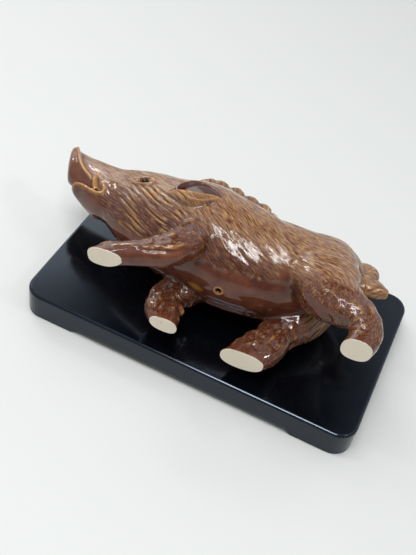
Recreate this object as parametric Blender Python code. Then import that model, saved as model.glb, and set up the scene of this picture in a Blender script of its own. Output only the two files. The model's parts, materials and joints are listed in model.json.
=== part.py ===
"""A glazed ceramic boar lying on its right side on a black lacquered display board.

The figure is worked out in a frame of its own, in units: x runs toward the snout, y toward the
boar's left side and z toward its back. Its tables give each limb as a row of cross-sections,
which are skinned, grown together and carved. It is then laid down on the board.
"""

import math

import bpy
import numpy as np
from mathutils import Matrix, Vector

# Display board, in metres.
BOARD_LENGTH = 0.270
BOARD_WIDTH = 0.154
BOARD_HEIGHT = 0.0235
BOARD_CORNER = 0.0147
BOARD_EDGE_ROUND = 0.0022
BOARD_ARRIS = 0.0006
CHANNEL_HEIGHT = 0.0053
CHANNEL_HALF_LENGTH = 0.0925  # at the floor; its ends slope inward by its own height
SIT_GAP = 0.0003

# Figure. The tables are in units: the boar is UNITS_LONG of them from tail to nose.
FIGURE_LENGTH = 0.280
UNITS_LONG = 311.0
UNIT = FIGURE_LENGTH / UNITS_LONG
HEADING = math.radians(4.0)  # snout swung toward the front edge of the board
ROLL = math.radians(-4.0)  # belly tipped up
SITS_AT = (0.0, 20.0)  # units from the board's centre
SOLE_LEVEL = -95.6
VENT = (-2.0, 0.0)
VENT_RADIUS = 2.1
VENT_DEPTH = 9.0

SKIN_VOXEL = 1.5
SKIN_TRIANGLES = 8600

# Rows of a trunk table: top x, z; bottom x, z; half width; height of the widest point as a
# share of the section; squareness (2 is an ellipse).
TRUNK = [
    (178.2, 34.0, 171.2, 15.0, 4.5, 0.50, 2.0),
    (178.8, 39.0, 167.8, 8.0, 9.5, 0.52, 2.0),
    (178.0, 42.0, 165.0, 3.5, 12.6, 0.50, 2.1),
    (175.2, 43.0, 160.8, 1.0, 13.4, 0.48, 2.1),
    (170.0, 39.5, 154.5, -1.5, 13.0, 0.50, 2.1),
    (163.0, 36.0, 148.0, -4.0, 14.0, 0.54, 2.1),
    (152.0, 32.0, 141.0, -8.5, 16.0, 0.60, 2.1),
    (140.0, 29.8, 133.0, -13.5, 17.8, 0.64, 2.1),
    (129.0, 28.2, 125.0, -19.5, 19.4, 0.66, 2.1),
    (118.0, 28.0, 116.0, -27.0, 22.0, 0.67, 2.1),
    (107.0, 29.5, 106.0, -34.0, 26.0, 0.67, 2.1),
    (97.0, 31.3, 97.0, -39.0, 29.5, 0.66, 2.1),
    (86.0, 32.6, 86.0, -43.5, 32.5, 0.64, 2.1),
    (75.0, 33.0, 75.0, -47.5, 35.0, 0.61, 2.1),
    (63.0, 34.0, 63.0, -51.0, 38.5, 0.58, 2.1),
    (50.0, 35.5, 50.0, -52.5, 43.0, 0.55, 2.1),
    (36.0, 37.0, 36.0, -56.5, 45.5, 0.55, 2.1),
    (20.0, 34.5, 20.0, -60.5, 46.0, 0.56, 2.1),
    (4.0, 29.5, 4.0, -62.5, 45.5, 0.56, 2.1),
    (-12.0, 25.6, -12.0, -62.0, 44.0, 0.56, 2.1),
    (-28.0, 23.8, -28.0, -60.0, 42.5, 0.55, 2.1),
    (-46.0, 23.0, -46.0, -55.0, 42.0, 0.55, 2.1),
    (-62.0, 22.6, -62.0, -48.0, 41.0, 0.52, 2.1),
    (-76.0, 22.4, -76.0, -41.0, 40.0, 0.50, 2.1),
    (-89.0, 20.0, -88.0, -33.0, 35.5, 0.49, 2.1),
    (-100.0, 15.5, -98.0, -24.0, 27.5, 0.47, 2.0),
    (-108.0, 7.5, -106.0, -14.0, 17.0, 0.47, 2.0),
    (-111.5, 0.0, -110.5, -7.0, 7.0, 0.50, 2.0),
]
JAW = [
    (155.0, -7.8, 153.8, -10.0, 2.6, 0.60, 2.0),
    (153.8, -6.6, 151.0, -11.2, 6.2, 0.75, 2.0),
    (148.3, -8.8, 145.2, -13.2, 9.4, 0.84, 2.0),
    (142.0, -11.6, 138.5, -17.0, 11.2, 0.86, 2.0),
    (132.0, -14.0, 128.5, -21.4, 12.8, 0.84, 2.0),
    (120.0, -11.0, 117.0, -26.0, 15.0, 0.80, 2.0),
    (106.0, -6.0, 104.0, -31.5, 18.0, 0.80, 2.0),
]
# Rows of a limb table: x, y, z; half size across; half size fore and aft.
FORE_LEFT = [
    (12.0, 20.0, -28.0, 16.0, 19.0),
    (21.0, 29.0, -50.0, 14.0, 17.0),
    (30.0, 34.0, -65.0, 12.0, 14.5),
    (44.0, 32.5, -75.0, 10.8, 12.8),
    (60.0, 28.2, -83.5, 9.4, 11.0),
    (73.5, 24.6, -87.2, 8.4, 9.6),
    (83.3, 22.2, -91.6, 8.3, 9.6),
    (91.8, 20.4, -101.5, 8.3, 9.6),
]
FORE_RIGHT = [
    (18.0, -20.0, -30.0, 17.0, 18.0),
    (30.0, -24.0, -50.0, 14.0, 16.0),
    (37.5, -25.0, -64.0, 12.0, 14.0),
    (38.0, -25.0, -73.0, 10.8, 14.0),
    (35.0, -24.8, -82.0, 9.4, 14.0),
    (29.5, -24.7, -90.5, 7.8, 11.5),
    (25.2, -24.7, -98.5, 6.8, 8.6),
    (21.0, -24.7, -107.0, 6.4, 8.4),
]
HIND_LEFT = [
    (-64.0, 10.0, 0.0, 27.0, 33.0),
    (-68.0, 17.0, -14.0, 25.5, 33.0),
    (-77.0, 22.0, -30.0, 22.0, 30.0),
    (-88.0, 24.0, -47.0, 19.0, 24.5),
    (-102.0, 28.0, -58.5, 14.5, 17.0),
    (-114.0, 29.5, -66.0, 11.6, 13.0),
    (-120.0, 28.0, -76.0, 10.8, 12.2),
    (-120.3, 26.5, -86.0, 10.6, 11.8),
    (-117.2, 25.3, -96.0, 10.2, 11.0),
    (-115.0, 24.5, -106.0, 10.4, 11.4),
]
HIND_RIGHT = [
    (-64.0, -10.0, 0.0, 27.0, 33.0),
    (-67.0, -17.0, -18.0, 24.0, 30.5),
    (-67.0, -22.0, -33.0, 19.0, 25.0),
    (-61.5, -26.0, -47.0, 14.5, 19.0),
    (-56.0, -28.0, -60.0, 12.2, 14.8),
    (-53.0, -28.5, -71.0, 11.8, 16.0),
    (-47.0, -29.5, -82.0, 10.6, 16.8),
    (-39.5, -30.3, -92.0, 9.4, 14.6),
    (-32.5, -31.0, -104.0, 9.0, 14.0),
]
TAIL_LOOP = [
    (-95.0, 4.0, 11.0, 8.0, 8.0),
    (-102.5, 7.0, 13.0, 7.5, 8.4),
    (-109.0, 9.5, 10.0, 7.5, 8.0),
    (-111.0, 11.0, 4.5, 7.0, 7.6),
    (-107.5, 12.0, -2.0, 7.0, 7.5),
]
TAIL_TIP = [
    (-101.0, 12.0, -6.0, 7.5, 8.5),
    (-110.0, 13.0, -9.5, 7.5, 9.5),
    (-119.5, 13.0, -10.0, 6.5, 8.5),
    (-128.5, 12.0, -9.5, 3.0, 4.0),
]
# The mane's tufts: x, z of the highest point; x, z of the rounded end.
TUFTS = [
    (53.5, 56.0, 44.5, 59.0),
    (42.5, 57.5, 32.5, 54.5),
    (28.5, 53.5, 17.5, 52.5),
    (13.5, 49.5, 2.5, 47.5),
    (0.5, 44.5, -12.5, 41.5),
]
TUFT_LEAN = 10.0
MANE_ROOT = [
    (80.0, 0.0, 26.0, 4.0, 4.5),
    (66.0, 3.0, 31.5, 6.0, 9.0),
    (50.0, 5.0, 37.0, 7.0, 11.5),
    (34.0, 6.0, 42.0, 7.5, 12.0),
    (18.0, 6.0, 39.5, 7.5, 11.0),
    (2.0, 5.5, 33.0, 7.0, 9.0),
    (-20.0, 3.0, 22.5, 4.0, 4.5),
]
# Each row of the ear runs across it: upper rim, fold and lower edge as x, y, z.
EAR = [
    (67.5, 35.0, -4.0, 67.5, 36.5, -6.0, 67.5, 36.0, -8.0),
    (63.0, 42.0, -3.0, 61.5, 42.5, -8.5, 60.0, 39.0, -12.0),
    (58.0, 44.5, 1.0, 54.5, 47.0, -11.5, 51.0, 41.5, -18.0),
    (51.0, 46.0, 4.0, 47.0, 49.5, -12.5, 42.0, 43.5, -21.5),
    (43.0, 46.6, 4.8, 40.0, 50.0, -12.5, 35.0, 44.5, -20.0),
    (36.0, 46.6, 2.0, 34.0, 50.0, -11.5, 29.5, 45.5, -16.0),
    (28.5, 47.0, -2.5, 28.0, 49.0, -9.0, 25.5, 46.0, -11.5),
    (22.5, 46.5, -8.0, 22.5, 47.0, -9.0, 22.5, 46.0, -10.0),
]
EAR_BOWL = 5.0
# Where the right foreleg's dewclaw stands out.
DEWCLAW = [
    (31.0, -24.0, -74.0, 4.5, 5.0), (23.5, -24.0, -76.0, 3.4, 4.2), (18.5, -24.2, -77.8, 1.6, 2.0),
]
SNOUT_RIM = [
    (176.0, 0.0, 43.0), (173.8, 7.0, 39.5), (170.4, 11.5, 33.0), (163.6, 13.8, 21.0),
    (157.0, 14.0, 12.0), (150.5, 14.0, 5.5), (143.5, 14.0, 0.5), (138.5, 13.5, -4.0),
]
LOWER_LIP = [
    (155.2, 0.0, -6.6), (153.2, 5.0, -6.4), (148.4, 8.2, -8.0), (142.0, 10.6, -11.0),
    (134.5, 12.0, -14.6), (127.5, 13.4, -16.8), (123.5, 14.6, -14.0), (125.5, 15.0, -8.2),
    (130.0, 15.0, -3.6),
]
TUSK = [
    (129.5, 12.5, -12.2, 2.6, 2.8), (134.0, 15.0, -6.7, 2.3, 2.6),
    (137.5, 16.4, -0.8, 1.8, 2.0), (138.8, 16.2, 4.6, 0.9, 1.0),
]
EYE = (92.5, 29.6, -1.0)
EYE_RADIUS = 3.0
LID = [
    (102.0, 27.8, -4.5), (97.5, 30.0, 1.0), (91.0, 31.0, 4.0), (85.0, 32.0, 1.5),
    (87.5, 32.4, -3.0), (93.0, 31.2, -5.0), (102.0, 27.8, -4.5),
]
# Where the flank's coat ends over the haunch: z and x; the coat's hem lies HEM_OUT from the
# middle of the belly.
HAUNCH_CREASE = [(-52.0, -55.0), (-45.0, -51.0), (-33.0, -48.0), (-26.0, -43.0), (-19.0, -35.0),
                 (-5.0, -27.0), (6.0, -22.0)]
HEM_OUT = 20.0
LOCK_DEPTH = 1.1


def clear_scene():
    for obj in list(bpy.data.objects):
        bpy.data.objects.remove(obj, do_unlink=True)


def through(rows, steps):
    """A smooth curve through the rows (Catmull-Rom), with this many steps between each two."""
    rows = np.array(rows, float)
    ends = np.vstack([2 * rows[0] - rows[1], rows, 2 * rows[-1] - rows[-2]])
    t = np.arange(steps)[:, None] / steps
    parts = []
    for i in range(len(rows) - 1):
        a, b, c, d = ends[i : i + 4]
        parts.append(
            b
            + 0.5 * t * (c - a)
            + t**2 * (a - 2.5 * b + 2 * c - 0.5 * d)
            + 0.5 * t**3 * (3 * b - a - 3 * c + d)
        )
    return np.vstack(parts + [rows[-1:]])


def power(v, n):
    return np.sign(v) * np.abs(v) ** (2.0 / n)


def mesh_object(name, points, faces):
    mesh = bpy.data.meshes.new(name)
    mesh.from_pydata(points.tolist(), [], faces)
    mesh.validate()
    obj = bpy.data.objects.new(name, mesh)
    bpy.context.scene.collection.objects.link(obj)
    return obj


def skin_rings(name, rings):
    """Joins rings of points, shape (rings, around, 3), into one closed skin with domed ends."""
    count, around = rings.shape[:2]
    points = np.vstack([rings.reshape(-1, 3), rings[0].mean(0), rings[-1].mean(0)])
    faces = []
    for i in range(count - 1):
        for j in range(around):
            k = (j + 1) % around
            a, b = i * around, (i + 1) * around
            faces.append((a + j, a + k, b + k, b + j))
    last = (count - 1) * around
    for j in range(around):
        k = (j + 1) % around
        faces.append((count * around, k, j))
        faces.append((count * around + 1, last + j, last + k))
    return mesh_object(name, points * UNIT, faces)


def trunk(name, rows, steps=5, around=48):
    rows = through(rows, steps)
    turn = np.linspace(0, 2 * math.pi, around, endpoint=False)
    top, bottom = rows[:, None, 0:2], rows[:, None, 2:4]
    half, widest, square = rows[:, 4:5], rows[:, 5:6], rows[:, 6:7]
    up = power(np.sin(turn)[None, :], square)
    share = np.where(up > 0, widest + (1 - widest) * up, widest + widest * up)
    flat = bottom + (top - bottom) * share[..., None]
    side = half * power(np.cos(turn)[None, :], square)
    return skin_rings(name, np.stack([flat[..., 0], side, flat[..., 1]], -1))


def limb(name, rows, steps=4, around=28, square=2.2):
    """A tube along the rows' centres; its sections stand square to the centre line."""
    rows = through(rows, steps)
    centre = rows[:, :3]
    along = np.gradient(centre, axis=0)
    along /= np.linalg.norm(along, axis=1, keepdims=True)
    across = np.array([0.0, 1.0, 0.0]) - along * along[:, 1:2]
    across /= np.linalg.norm(across, axis=1, keepdims=True)
    third = np.cross(along, across)
    turn = np.linspace(0, 2 * math.pi, around, endpoint=False)
    a = rows[:, 3:4] * power(np.cos(turn)[None, :], square)
    b = rows[:, 4:5] * power(np.sin(turn)[None, :], square)
    rings = centre[:, None] + a[..., None] * across[:, None] + b[..., None] * third[:, None]
    return skin_rings(name, rings)


def settled(obj):
    """The object with its modifiers applied."""
    graph = bpy.context.evaluated_depsgraph_get()
    mesh = bpy.data.meshes.new_from_object(obj.evaluated_get(graph))
    obj.modifiers.clear()
    obj.data = mesh
    return obj


def joined(name, pieces):
    """One mesh that holds all the pieces, overlapping as they are."""
    points, faces, start = [], [], 0
    for piece in pieces:
        mesh = piece.data
        local = np.empty(len(mesh.vertices) * 3)
        mesh.vertices.foreach_get("co", local)
        points.append(local.reshape(-1, 3))
        faces += [tuple(start + v for v in face.vertices) for face in mesh.polygons]
        start += len(mesh.vertices)
        bpy.data.objects.remove(piece, do_unlink=True)
    return mesh_object(name, np.vstack(points), faces)


def grown(obj, voxel, rounds, factor=0.5):
    """Grows overlapping pieces into one skin, then softens it."""
    remesh = obj.modifiers.new("Grow together", "REMESH")
    remesh.mode = "VOXEL"
    remesh.voxel_size = voxel * UNIT
    if rounds:
        smooth = obj.modifiers.new("Soften", "SMOOTH")
        smooth.factor = factor
        smooth.iterations = rounds
    return settled(obj)


def cord(name, path, radius, side=1):
    rows = [(x, side * y, z, radius, radius) for x, y, z in path]
    return limb(name, rows, around=10, square=2.0)


def ear(name, side):
    """A leaf laid back on the neck: a bowl above its fold, a furred band below it."""
    rows = through(EAR, 5)
    rim, fold, hem = rows[:, 0:3], rows[:, 3:6], rows[:, 6:9]
    out = np.array([0.0, 0.93, 0.37])
    width = np.linalg.norm(rim - hem, axis=1, keepdims=True)
    bowl = EAR_BOWL * np.clip(width / 24.0, 0, 1) * out
    deep = 6.0 * out
    line = [
        rim - 0.4 * out,
        0.82 * rim + 0.18 * fold - 0.7 * bowl,
        0.55 * rim + 0.45 * fold - bowl,
        0.25 * rim + 0.75 * fold - 0.8 * bowl,
        0.05 * rim + 0.95 * fold,
        0.75 * fold + 0.25 * hem + 0.4 * out,
        0.35 * fold + 0.65 * hem + 0.4 * out,
        hem,
        hem - 1.2 * deep,
        0.5 * (rim + hem) - 1.6 * deep,
        rim + 0.12 * (rim - hem) - 1.2 * deep,
        rim + 0.06 * (rim - hem) - 0.3 * deep,
    ]
    rings = np.stack(line, 1)
    if side < 0:  # the ear underneath is pressed closer, clear of the board
        rings = rings[:, ::-1] * [1.0, -0.86, 1.0] + [0.0, 0.0, 7.0]
    return skin_rings(name, rings)


def bump(v, low, high, soft):
    """1 between low and high, fading to 0 over the soft width at each end."""
    rise = np.clip((v - low) / soft + 0.5, 0, 1)
    fall = np.clip((high - v) / soft + 0.5, 0, 1)
    return (rise * rise * (3 - 2 * rise)) * (fall * fall * (3 - 2 * fall))


def ridges(phase):
    """Rounded locks with a sharp groove between two of them, from -1 to 0."""
    return -((2 * np.abs(phase - np.floor(phase) - 0.5)) ** 3)


def carve(obj):
    """Pushes the skin out or in along its normals: coat hems, haunch crease and locks."""
    mesh = obj.data
    count = len(mesh.vertices)
    points, normals = np.empty(count * 3), np.empty(count * 3)
    mesh.vertices.foreach_get("co", points)
    mesh.vertices.foreach_get("normal", normals)
    points, normals = points.reshape(-1, 3) / UNIT, normals.reshape(-1, 3)
    x, y, z = points.T
    out = np.abs(y)

    crease = np.array(HAUNCH_CREASE)
    ahead = x - np.interp(z, crease[:, 0], crease[:, 1])
    near = bump(z, -58, 22, 10) * bump(out, 14, 60, 8)
    push = 1.9 * near * np.tanh(ahead / 2.2) * np.exp(-np.abs(ahead) / 10)

    under = bump(z, -90, -30, 14) * bump(x, -52, 20, 10)
    past = out - HEM_OUT
    push += 1.7 * under * np.tanh(past / 2.2) * np.exp(-np.abs(past) / np.where(past > 0, 14, 5))

    flank = bump(x, -44, 66, 16) * bump(z, -50, 26, 14) * bump(out, 16, 60, 10)
    push += LOCK_DEPTH * flank * ridges((0.83 * x - 0.55 * z) / 12.5 + 0.25 * np.sin(z / 11))
    ruff = bump(x, 40, 108, 14) * bump(z, -46, -4, 12) * bump(out, 12, 60, 8)
    push += 1.3 * LOCK_DEPTH * ruff * ridges((0.95 * z - 0.30 * x) / 7.5)
    haunch = bump(x, -106, -52, 12) * bump(z, -40, 20, 12) * bump(out, 16, 60, 10)
    push += LOCK_DEPTH * haunch * ridges((0.62 * x + 0.78 * z) / 10.5 + 0.2 * np.sin(x / 9))

    clear = bump(z, -84, 90, 6)
    points = points + normals * (push * clear)[:, None]
    mesh.vertices.foreach_set("co", (points * UNIT).reshape(-1))
    mesh.update()


def cutter(name, low, high):
    a, b = np.array(low, float), np.array(high, float)
    corners = [(x, y, z) for z in (a[2], b[2]) for y in (a[1], b[1]) for x in (a[0], b[0])]
    sides = [(0, 2, 3, 1), (4, 5, 7, 6), (0, 1, 5, 4), (2, 6, 7, 3), (0, 4, 6, 2), (1, 3, 7, 5)]
    return mesh_object(name, np.array(corners) * UNIT, sides)


def cut_away(obj, tool):
    tool.hide_render = True
    tool.display_type = "WIRE"
    cut = obj.modifiers.new("Cut", "BOOLEAN")
    cut.operation = "DIFFERENCE"
    cut.solver = "EXACT"
    cut.object = tool
    settled(obj)
    bpy.data.objects.remove(tool, do_unlink=True)


def boar():
    pieces = [
        trunk("trunk", TRUNK),
        trunk("jaw", JAW, around=32),
        limb("fore left", FORE_LEFT),
        limb("fore right", FORE_RIGHT),
        limb("hind left", HIND_LEFT),
        limb("hind right", HIND_RIGHT),
        limb("dewclaw", DEWCLAW, around=12),
    ]
    details = [grown(joined("base", pieces), SKIN_VOXEL, 6)]
    details.append(limb("mane root", MANE_ROOT, around=20))
    for top_x, top_z, end_x, end_z in TUFTS:
        rows = [
            (top_x + 13, 0.4 * TUFT_LEAN, top_z - 14.0, 7.5, 9.0),
            (top_x + 3, 0.9 * TUFT_LEAN, top_z - 8.0, 6.5, 8.0),
            (end_x + 5, TUFT_LEAN, 0.5 * (top_z + end_z) - 6.5, 5.5, 6.5),
            (end_x + 1.5, TUFT_LEAN, end_z - 3.5, 3.0, 3.5),
        ]
        details.append(limb("tuft", rows, around=20))
    details.append(limb("tail loop", TAIL_LOOP, around=20))
    details.append(limb("tail tip", TAIL_TIP, around=20))
    for side in (1, -1):
        details.append(ear("ear", side))
        details.append(cord("snout rim", SNOUT_RIM, 1.5, side))
        details.append(cord("lower lip", LOWER_LIP, 1.5, side))
        details.append(cord("eyelid", LID, 1.1, side))
        tusk = [(x, side * y, z, a, b) for x, y, z, a, b in TUSK]
        details.append(limb("tusk", tusk, around=12, square=2.0))
        x, y, z = EYE
        ball = [(x + t * EYE_RADIUS, side * y, z) for t in (-0.9, -0.6, 0.0, 0.6, 0.9)]
        sizes = [EYE_RADIUS * r for r in (0.44, 0.8, 1.0, 0.8, 0.44)]
        rows = [(*p, r, r) for p, r in zip(ball, sizes)]
        details.append(limb("eye", rows, around=16, square=2.0))
    skin = grown(joined("boar", details), SKIN_VOXEL, 1)
    carve(skin)
    thin = skin.modifiers.new("Facets", "DECIMATE")
    thin.ratio = SKIN_TRIANGLES / (2 * len(skin.data.polygons))
    settled(skin)
    cut_away(skin, cutter("ground", (-200, -80, -160), (200, 80, SOLE_LEVEL)))
    turn = np.linspace(0, 2 * math.pi, 16, endpoint=False)
    ring = np.stack([VENT[0] + VENT_RADIUS * np.cos(turn), VENT[1] + VENT_RADIUS * np.sin(turn)], -1)
    levels = (-75.0, -62.5 + VENT_DEPTH)
    rings = np.array([[(x, y, z) for x, y in ring] for z in levels])
    cut_away(skin, skin_rings("vent drill", rings))
    return skin


def lay_down(obj):
    """Turns the figure from its own frame onto its right side and sets it on the board."""
    fwd, lat, dor = Vector((-1, 0, 0)), Vector((0, 0, 1)), Vector((0, 1, 0))
    swing = Matrix.Rotation(HEADING, 3, "Z")
    fwd, lat, dor = swing @ fwd, swing @ lat, swing @ dor
    tip = Matrix.Rotation(-ROLL, 3, fwd)
    lat, dor = tip @ lat, tip @ dor
    turn = Matrix((fwd, lat, dor)).transposed()
    points = np.empty(len(obj.data.vertices) * 3)
    obj.data.vertices.foreach_get("co", points)
    points = points.reshape(-1, 3) @ np.array(turn).T
    points[:, 0] += SITS_AT[0] * UNIT
    points[:, 1] += SITS_AT[1] * UNIT
    points[:, 2] += BOARD_HEIGHT + SIT_GAP - points[:, 2].min()
    obj.data.vertices.foreach_set("co", points.reshape(-1))
    obj.data.update()


def board_ring(inset, z, steps=8):
    """The board's outline at one height, drawn in by the inset."""
    radius = BOARD_CORNER - inset
    quarter = np.linspace(0, math.pi / 2, steps + 1)
    ring = []
    for i, (sx, sy) in enumerate([(1, 1), (-1, 1), (-1, -1), (1, -1)]):
        cx = sx * (BOARD_LENGTH / 2 - BOARD_CORNER)
        cy = sy * (BOARD_WIDTH / 2 - BOARD_CORNER)
        turn = quarter + i * math.pi / 2
        ring += list(zip(cx + radius * np.cos(turn), cy + radius * np.sin(turn)))
    return [(x, y, z) for x, y in ring]


def board():
    edge = np.linspace(0, math.pi / 2, 6)
    rings = [board_ring(BOARD_ARRIS, 0.0), board_ring(0.0, BOARD_ARRIS)]
    for turn in edge:
        inset = BOARD_EDGE_ROUND * (1 - math.cos(turn))
        rings.append(board_ring(inset, BOARD_HEIGHT - BOARD_EDGE_ROUND * (1 - math.sin(turn))))
    around = len(rings[0])
    points = np.array(rings).reshape(-1, 3)
    faces = [tuple(range(around))[::-1]]
    faces.append(tuple(range(len(points) - around, len(points))))
    for i in range(len(rings) - 1):
        for j in range(around):
            k = (j + 1) % around
            a, b = i * around, (i + 1) * around
            faces.append((a + j, a + k, b + k, b + j))
    obj = mesh_object("display_board", points, faces)

    reach = BOARD_WIDTH / 2 + 0.01
    low, high = CHANNEL_HALF_LENGTH + 0.004, CHANNEL_HALF_LENGTH - CHANNEL_HEIGHT
    outline = [(-low, -0.004), (low, -0.004), (high, CHANNEL_HEIGHT), (-high, CHANNEL_HEIGHT)]
    corners = [(x, -reach, z) for x, z in outline] + [(x, reach, z) for x, z in outline]
    sides = [(0, 1, 2, 3), (7, 6, 5, 4)]
    sides += [(i + 4, (i + 1) % 4 + 4, (i + 1) % 4, i) for i in range(4)]
    channel = mesh_object("channel cutter", np.array(corners), sides)
    channel.hide_render = True
    channel.display_type = "WIRE"
    channel.parent = obj
    cut = obj.modifiers.new("Channel", "BOOLEAN")
    cut.operation = "DIFFERENCE"
    cut.solver = "EXACT"
    cut.object = channel
    return obj


def glaze(name, colour, roughness, coat=0.0):
    material = bpy.data.materials.new(name)
    material.use_nodes = True
    shader = material.node_tree.nodes["Principled BSDF"]
    shader.inputs["Base Color"].default_value = (*colour, 1.0)
    shader.inputs["Roughness"].default_value = roughness
    shader.inputs["Coat Weight"].default_value = coat
    return material


def centre_on_origin(figure, stand):
    """Moves both, and the stand's cutter, so that the box round them is centred on the origin."""
    points = np.empty(len(figure.data.vertices) * 3)
    figure.data.vertices.foreach_get("co", points)
    points = points.reshape(-1, 3)
    half = np.array([BOARD_LENGTH / 2, BOARD_WIDTH / 2])
    low = np.minimum(points[:, :2].min(0), -half)
    high = np.maximum(points[:, :2].max(0), half)
    shift = Matrix.Translation((*(-0.5 * (low + high)), 0.0))
    for obj in (figure, stand, *stand.children):
        obj.data.transform(shift)


clear_scene()
figure = boar()
lay_down(figure)
figure.name = "boar"
figure.data.materials.append(glaze("brown glaze", (0.105, 0.045, 0.028), 0.16, 0.4))
stand = board()
stand.data.materials.append(glaze("black lacquer", (0.006, 0.007, 0.009), 0.16, 0.3))
centre_on_origin(figure, stand)
for piece, bend in ((figure, 50), (stand, 30)):
    piece.data.shade_smooth()
    piece.data.set_sharp_from_angle(angle=math.radians(bend))
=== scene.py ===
import json
import math

import bmesh
import bpy
import numpy as np
from mathutils import Matrix, Vector

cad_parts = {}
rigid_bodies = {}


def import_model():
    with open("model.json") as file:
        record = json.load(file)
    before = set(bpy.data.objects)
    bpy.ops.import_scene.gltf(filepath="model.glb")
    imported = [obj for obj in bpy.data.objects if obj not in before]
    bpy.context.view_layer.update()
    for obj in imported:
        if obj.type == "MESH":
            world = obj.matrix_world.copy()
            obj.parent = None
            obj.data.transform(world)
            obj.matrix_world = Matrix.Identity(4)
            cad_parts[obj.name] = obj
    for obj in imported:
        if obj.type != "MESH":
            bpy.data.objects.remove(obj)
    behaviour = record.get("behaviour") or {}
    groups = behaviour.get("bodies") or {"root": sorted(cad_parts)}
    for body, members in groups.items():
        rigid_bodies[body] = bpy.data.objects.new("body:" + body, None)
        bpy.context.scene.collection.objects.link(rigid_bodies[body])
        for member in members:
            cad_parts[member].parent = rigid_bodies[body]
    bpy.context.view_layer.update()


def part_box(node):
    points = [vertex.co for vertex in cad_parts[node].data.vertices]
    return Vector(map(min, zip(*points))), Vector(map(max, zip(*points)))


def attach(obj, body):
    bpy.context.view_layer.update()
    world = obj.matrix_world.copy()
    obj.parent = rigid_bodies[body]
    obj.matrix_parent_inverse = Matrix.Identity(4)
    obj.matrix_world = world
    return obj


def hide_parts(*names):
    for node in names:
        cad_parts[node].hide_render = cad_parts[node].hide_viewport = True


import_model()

# The boar is worked out in its own frame, in units: x toward the snout, y toward its left side,
# z toward its back. It is 311 of them long, and is laid on its right side at the end.
figure = {
    "length": 0.280,  # m
    "unitsLong": 311.0,
    "heading": math.radians(4.0),
    "roll": math.radians(-4.0),
    "sitsAt": (0.0, 20.0),
    "soleLevel": -95.6,
    "vent": (-2.0, 0.0, 2.1, 9.0),  # x, y, radius, depth
    "legSquare": 2.5,
    "voxel": 0.92,
    "bodySoftening": 14,  # rounds
    "skinSoftening": 2,
    "haunchSoftening": 150,
    "thinning": 0.595,  # share of the triangles that is kept
}
unit = figure["length"] / figure["unitsLong"]
mmPerUnit = unit * 1000.0


def through(rows, steps):
    # Catmull-Rom: each stretch leaves a row along the line between its two neighbours.
    rows = np.array(rows, float)
    ends = np.vstack([2 * rows[0] - rows[1], rows, 2 * rows[-1] - rows[-2]])
    t = (np.arange(steps) / steps)[None, :, None]
    a, b, c, d = (ends[i : i + len(rows) - 1, None, :] for i in range(4))
    curve = b + 0.5 * t * (c - a) + t**2 * (a - 2.5 * b + 2 * c - 0.5 * d)
    curve = curve + 0.5 * t**3 * (3 * b - a - 3 * c + d)
    return np.vstack([curve.reshape(-1, rows.shape[1]), rows[-1:]])


def power(v, n):
    # A sine or cosine bent so that a turn of it draws a superellipse.
    return np.sign(v) * np.abs(v) ** (2.0 / n)


def meshFrom(name, points, groups):
    # Faces come in groups: an array for each number of corners.
    mesh = bpy.data.meshes.new(name)
    mesh.from_pydata(points.tolist(), [], sum((group.tolist() for group in groups), []))
    mesh.validate()
    obj = bpy.data.objects.new(name, mesh)
    bpy.context.scene.collection.objects.link(obj)
    return obj


def skinRings(rings):
    # Quads between each ring and the next, and a fan to the middle of the first and last ring.
    count, around = rings.shape[:2]
    points = np.vstack([rings.reshape(-1, 3), rings[0].mean(0), rings[-1].mean(0)])
    i, j = np.meshgrid(np.arange(count - 1), np.arange(around), indexing="ij")
    k = (j + 1) % around
    a, b = i * around, (i + 1) * around
    quads = np.stack([a + j, a + k, b + k, b + j], -1).reshape(-1, 4)
    j, last = np.arange(around), (count - 1) * around
    k = (j + 1) % around
    tips = np.vstack([
        np.stack([np.full(around, count * around), k, j], -1),
        np.stack([np.full(around, count * around + 1), last + j, last + k], -1),
    ])
    return points, [quads, tips]


def trunk(rows, steps=6, around=64):
    # A ring runs from a bottom point to a top point in the middle plane, and reaches its half
    # width at a share of that height; both follow a superellipse of the turn.
    rows = through(rows, steps)
    turn = np.linspace(0, 2 * math.pi, around, endpoint=False)
    top, bottom = rows[:, None, 0:2], rows[:, None, 2:4]
    half, widest, square = rows[:, 4:5], rows[:, 5:6], rows[:, 6:7]
    up = power(np.sin(turn)[None, :], square)
    share = np.where(up > 0, widest + (1 - widest) * up, widest + widest * up)
    flat = bottom + (top - bottom) * share[..., None]
    side = half * power(np.cos(turn)[None, :], square)
    return skinRings(np.stack([flat[..., 0], side, flat[..., 1]], -1))


def limb(rows, steps=6, around=36, square=2.2):
    # A superellipse (2 is an ellipse) carried along the rows' centres, square to the centre line.
    rows = through(rows, steps)
    centre = rows[:, :3]
    along = np.gradient(centre, axis=0)
    along /= np.linalg.norm(along, axis=1, keepdims=True)
    across = np.array([0.0, 1.0, 0.0]) - along * along[:, 1:2]
    across /= np.linalg.norm(across, axis=1, keepdims=True)
    third = np.cross(along, across)
    turn = np.linspace(0, 2 * math.pi, around, endpoint=False)
    a = rows[:, 3:4] * power(np.cos(turn)[None, :], square)
    b = rows[:, 4:5] * power(np.sin(turn)[None, :], square)
    off = a[..., None] * across[:, None] + b[..., None] * third[:, None]
    return skinRings(centre[:, None] + off)


def cord(path, radius, side):
    # A round cord along a path, on the left side or mirrored.
    return limb([(x, side * y, z, radius, radius) for x, y, z in path], around=12, square=2.0)


def joined(name, surfaces):
    # One object of several surfaces, given in units.
    points, groups, start = [], [], 0
    for local, own in surfaces:
        points.append(local)
        groups += [group + start for group in own]
        start += len(local)
    return meshFrom(name, np.vstack(points) * unit, groups)


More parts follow.
